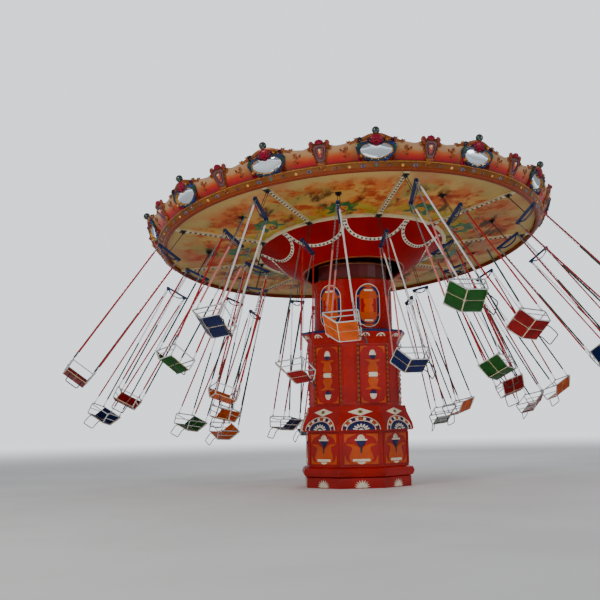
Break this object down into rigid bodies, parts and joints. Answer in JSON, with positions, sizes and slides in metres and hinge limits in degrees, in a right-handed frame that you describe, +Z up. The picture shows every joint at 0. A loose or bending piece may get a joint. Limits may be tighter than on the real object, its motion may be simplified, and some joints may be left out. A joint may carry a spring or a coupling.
{
  "type": "chair swing ride",
  "caption": "Fairground chair swing ride: a decorated tower with a telescoping mast, a tilting round canopy with mirrored boards, and rings of chairs that fly out on chains.",
  "frame": {"origin": "centre of the foundation's flat underside, on the tower's axis, at ground level", "axes": "+Z up along the tower; -Y towards the near side, just left of where the tilted canopy is high; +X to the right seen from there, the way the nearest chairs face"},
  "size_m": [14.4136, 14.0497, 7.6993],
  "materials": {
    "tower_paint": "gloss enamel",
    "cornice_paint": "gloss enamel with a dark blue edge",
    "mast_paint": "gloss enamel",
    "turret_paint": "satin enamel",
    "head_steel": "oiled steel",
    "frame_steel": "satin enamel",
    "bowl_paint": "gloss enamel on moulded plastic",
    "ceiling_paint": "satin paint on plywood",
    "rib_paint": "satin enamel",
    "rim_paint": "gloss enamel on timber",
    "board_paint": "gloss enamel on moulded plastic",
    "roof_sheet": "coated sheet",
    "finial_gold": "gilt",
    "seat_green": "gloss enamel",
    "seat_blue": "gloss enamel",
    "seat_red": "gloss enamel",
    "seat_orange": "gloss enamel",
    "tube_steel": "pale grey enamel",
    "chain_steel": "galvanized",
    "chain_sleeve": "soft plastic",
    "mirror_glass": "silvered glass",
    "trim_gold": "gilt moulding",
    "trim_paint": "gloss enamel",
    "lamp_glass": "lamp globe"
  },
  "bodies": {
    "foundation": {"base_plinth": "tower_paint", "base_moulding": "tower_paint", "lower_tower": "tower_paint", "mid_band": "tower_paint", "upper_tower": "tower_paint", "tower_cornice": "cornice_paint"},
    "mast": {"mast_column": "mast_paint"},
    "turret": {"mast_turret": "turret_paint"},
    "head": {"tilt_head": "head_steel"},
    "canopy": {"canopy_frame": "frame_steel", "centre_bowl": "bowl_paint", "ceiling_panels": "ceiling_paint", "ceiling_ribs": "rib_paint", "rim_cornice": "rim_paint", "rounding_boards": "board_paint", "roof_cover": "roof_sheet", "roof_finial": "finial_gold"},
    "swing_outer_1": {"chair_outer_1": "seat_green"},
    "swing_outer_2": {"chair_outer_2": "seat_blue"},
    "swing_outer_3": {"chair_outer_3": "seat_blue"},
    "swing_outer_4": {"chair_outer_4": "seat_red"},
    "swing_outer_5": {"chair_outer_5": "seat_orange"},
    "swing_outer_6": {"chair_outer_6": "seat_orange"},
    "swing_outer_7": {"chair_outer_7": "seat_blue"},
    "swing_outer_8": {"chair_outer_8": "seat_red"},
    "swing_outer_9": {"chair_outer_9": "seat_blue"},
    "swing_mid_1": {"chair_mid_1": "seat_red"},
    "swing_mid_2": {"chair_mid_2": "seat_blue"},
    "swing_mid_3": {"chair_mid_3": "seat_orange"},
    "swing_mid_4": {"chair_mid_4": "seat_green"},
    "swing_mid_5": {"chair_mid_5": "seat_blue"},
    "swing_mid_6": {"chair_mid_6": "seat_green"},
    "swing_mid_7": {"chair_mid_7": "seat_red"},
    "swing_mid_8": {"chair_mid_8": "seat_green"},
    "swing_mid_9": {"chair_mid_9": "seat_orange"},
    "swing_inner_1": {"chair_inner_1": "seat_blue"},
    "swing_inner_2": {"chair_inner_2": "seat_green"},
    "swing_inner_3": {"chair_inner_3": "seat_red"},
    "swing_inner_4": {"chair_inner_4": "seat_orange"},
    "swing_inner_5": {"chair_inner_5": "seat_green"},
    "swing_inner_6": {"chair_inner_6": "seat_blue"},
    "swing_inner_7": {"chair_inner_7": "seat_orange"},
    "swing_inner_8": {"chair_inner_8": "seat_orange"},
    "swing_inner_9": {"chair_inner_9": "seat_red"}
  },
  "joints": [
    {"name": "lift", "type": "slide", "parent": "foundation", "child": "mast", "axis": [0, 0, 1], "range_m": [-0.8, 0]},
    {"name": "mast_turn", "type": "hinge", "parent": "mast", "child": "turret", "pos_m": [0, 0, 5], "axis": [0, 0, 1], "continuous": true},
    {"name": "tilt", "type": "hinge", "parent": "turret", "child": "head", "pos_m": [0, 0, 5.7], "axis": [-0.9444, -0.3289, 0], "range_deg": [-10.6, 4.4]},
    {"name": "canopy_spin", "type": "hinge", "parent": "head", "child": "canopy", "pos_m": [0, 0, 5.7], "axis": [-0.0605, 0.1737, 0.9829], "continuous": true},
    {"name": "outer_swing_1", "type": "hinge", "parent": "canopy", "child": "swing_outer_1", "pos_m": [1.20593, -4.09149, 6.7619], "axis": [-0.9586, -0.2848, -0.0087], "range_deg": [-36.5, 12]},
    {"name": "outer_swing_2", "type": "hinge", "parent": "canopy", "child": "swing_outer_2", "pos_m": [3.62377, -2.32047, 6.59771], "axis": [-0.5553, -0.8241, 0.1115], "range_deg": [-36.5, 12]},
    {"name": "outer_swing_3", "type": "hinge", "parent": "canopy", "child": "swing_outer_3", "pos_m": [4.33865, 0.55746, 6.13307], "axis": [0.1077, -0.9779, 0.1795], "range_deg": [-36.5, 12]},
    {"name": "outer_swing_4", "type": "hinge", "parent": "canopy", "child": "swing_outer_4", "pos_m": [3.01606, 3.19569, 5.58541], "axis": [0.7204, -0.674, 0.1635], "range_deg": [-36.5, 12]},
    {"name": "outer_swing_5", "type": "hinge", "parent": "canopy", "child": "swing_outer_5", "pos_m": [0.27487, 4.35976, 5.21097], "axis": [0.996, -0.0548, 0.071], "range_deg": [-36.5, 12]},
    {"name": "outer_swing_6", "type": "hinge", "parent": "canopy", "child": "swing_outer_6", "pos_m": [-2.6023, 3.50499, 5.18496], "axis": [0.8055, 0.59, -0.0547], "range_deg": [-36.5, 12]},
    {"name": "outer_swing_7", "type": "hinge", "parent": "canopy", "child": "swing_outer_7", "pos_m": [-4.26919, 1.03133, 5.51955], "axis": [0.2382, 0.9588, -0.1548], "range_deg": [-36.5, 12]},
    {"name": "outer_swing_8", "type": "hinge", "parent": "canopy", "child": "swing_outer_8", "pos_m": [-3.94583, -1.90375, 6.05818], "axis": [-0.4406, 0.8789, -0.1825], "range_deg": [-36.5, 12]},
    {"name": "outer_swing_9", "type": "hinge", "parent": "canopy", "child": "swing_outer_9", "pos_m": [-1.78354, -3.92691, 6.54883], "axis": [-0.9133, 0.3878, -0.1247], "range_deg": [-36.5, 12]},
    {"name": "mid_swing_1", "type": "hinge", "parent": "canopy", "child": "swing_mid_1", "pos_m": [2.08028, -2.76009, 6.56262], "axis": [-0.8055, -0.59, 0.0547], "range_deg": [-31, 12]},
    {"name": "mid_swing_2", "type": "hinge", "parent": "canopy", "child": "swing_mid_2", "pos_m": [3.43035, -0.75658, 6.29162], "axis": [-0.2382, -0.9588, 0.1548], "range_deg": [-31, 12]},
    {"name": "mid_swing_3", "type": "hinge", "parent": "canopy", "child": "swing_mid_3", "pos_m": [3.16846, 1.62065, 5.85536], "axis": [0.4406, -0.8789, 0.1825], "range_deg": [-31, 12]},
    {"name": "mid_swing_4", "type": "hinge", "parent": "canopy", "child": "swing_mid_4", "pos_m": [1.41714, 3.25928, 5.45797], "axis": [0.9133, -0.3878, 0.1247], "range_deg": [-31, 12]},
    {"name": "mid_swing_5", "type": "hinge", "parent": "canopy", "child": "swing_mid_5", "pos_m": [-1.00414, 3.39257, 5.28539], "axis": [0.9586, 0.2848, 0.0087], "range_deg": [-31, 12]},
    {"name": "mid_swing_6", "type": "hinge", "parent": "canopy", "child": "swing_mid_6", "pos_m": [-2.96244, 1.95816, 5.41838], "axis": [0.5553, 0.8241, -0.1115], "range_deg": [-31, 12]},
    {"name": "mid_swing_7", "type": "hinge", "parent": "canopy", "child": "swing_mid_7", "pos_m": [-3.54144, -0.37278, 5.7947], "axis": [-0.1077, 0.9779, -0.1795], "range_deg": [-31, 12]},
    {"name": "mid_swing_8", "type": "hinge", "parent": "canopy", "child": "swing_mid_8", "pos_m": [-2.47023, -2.50957, 6.23828], "axis": [-0.7204, 0.674, -0.1635], "range_deg": [-31, 12]},
    {"name": "mid_swing_9", "type": "hinge", "parent": "canopy", "child": "swing_mid_9", "pos_m": [-0.25004, -3.4524, 6.54155], "axis": [-0.996, 0.0548, -0.071], "range_deg": [-31, 12]},
    {"name": "inner_swing_1", "type": "hinge", "parent": "canopy", "child": "swing_inner_1", "pos_m": [0.65329, -2.21547, 6.24177], "axis": [-0.9586, -0.2848, -0.0087], "range_deg": [-18.5, 12]},
    {"name": "inner_swing_2", "type": "hinge", "parent": "canopy", "child": "swing_inner_2", "pos_m": [1.95919, -1.25893, 6.15308], "axis": [-0.5553, -0.8241, 0.1115], "range_deg": [-18.5, 12]},
    {"name": "inner_swing_3", "type": "hinge", "parent": "canopy", "child": "swing_inner_3", "pos_m": [2.3453, 0.29547, 5.90213], "axis": [0.1077, -0.9779, 0.1795], "range_deg": [-18.5, 12]},
    {"name": "inner_swing_4", "type": "hinge", "parent": "canopy", "child": "swing_inner_4", "pos_m": [1.63096, 1.7204, 5.60633], "axis": [0.7204, -0.674, 0.1635], "range_deg": [-18.5, 12]},
    {"name": "inner_swing_5", "type": "hinge", "parent": "canopy", "child": "swing_inner_5", "pos_m": [0.15041, 2.34913, 5.40409], "axis": [0.996, -0.0548, 0.071], "range_deg": [-18.5, 12]},
    {"name": "inner_swing_6", "type": "hinge", "parent": "canopy", "child": "swing_inner_6", "pos_m": [-1.40357, 1.88746, 5.39004], "axis": [0.8055, 0.59, -0.0547], "range_deg": [-18.5, 12]},
    {"name": "inner_swing_7", "type": "hinge", "parent": "canopy", "child": "swing_inner_7", "pos_m": [-2.30387, 0.55142, 5.57076], "axis": [0.2382, 0.9588, -0.1548], "range_deg": [-18.5, 12]},
    {"name": "inner_swing_8", "type": "hinge", "parent": "canopy", "child": "swing_inner_8", "pos_m": [-2.12923, -1.03385, 5.86168], "axis": [-0.4406, 0.8789, -0.1825], "range_deg": [-18.5, 12]},
    {"name": "inner_swing_9", "type": "hinge", "parent": "canopy", "child": "swing_inner_9", "pos_m": [-0.96135, -2.12658, 6.12668], "axis": [-0.9133, 0.3878, -0.1247], "range_deg": [-18.5, 12]}
  ]
}
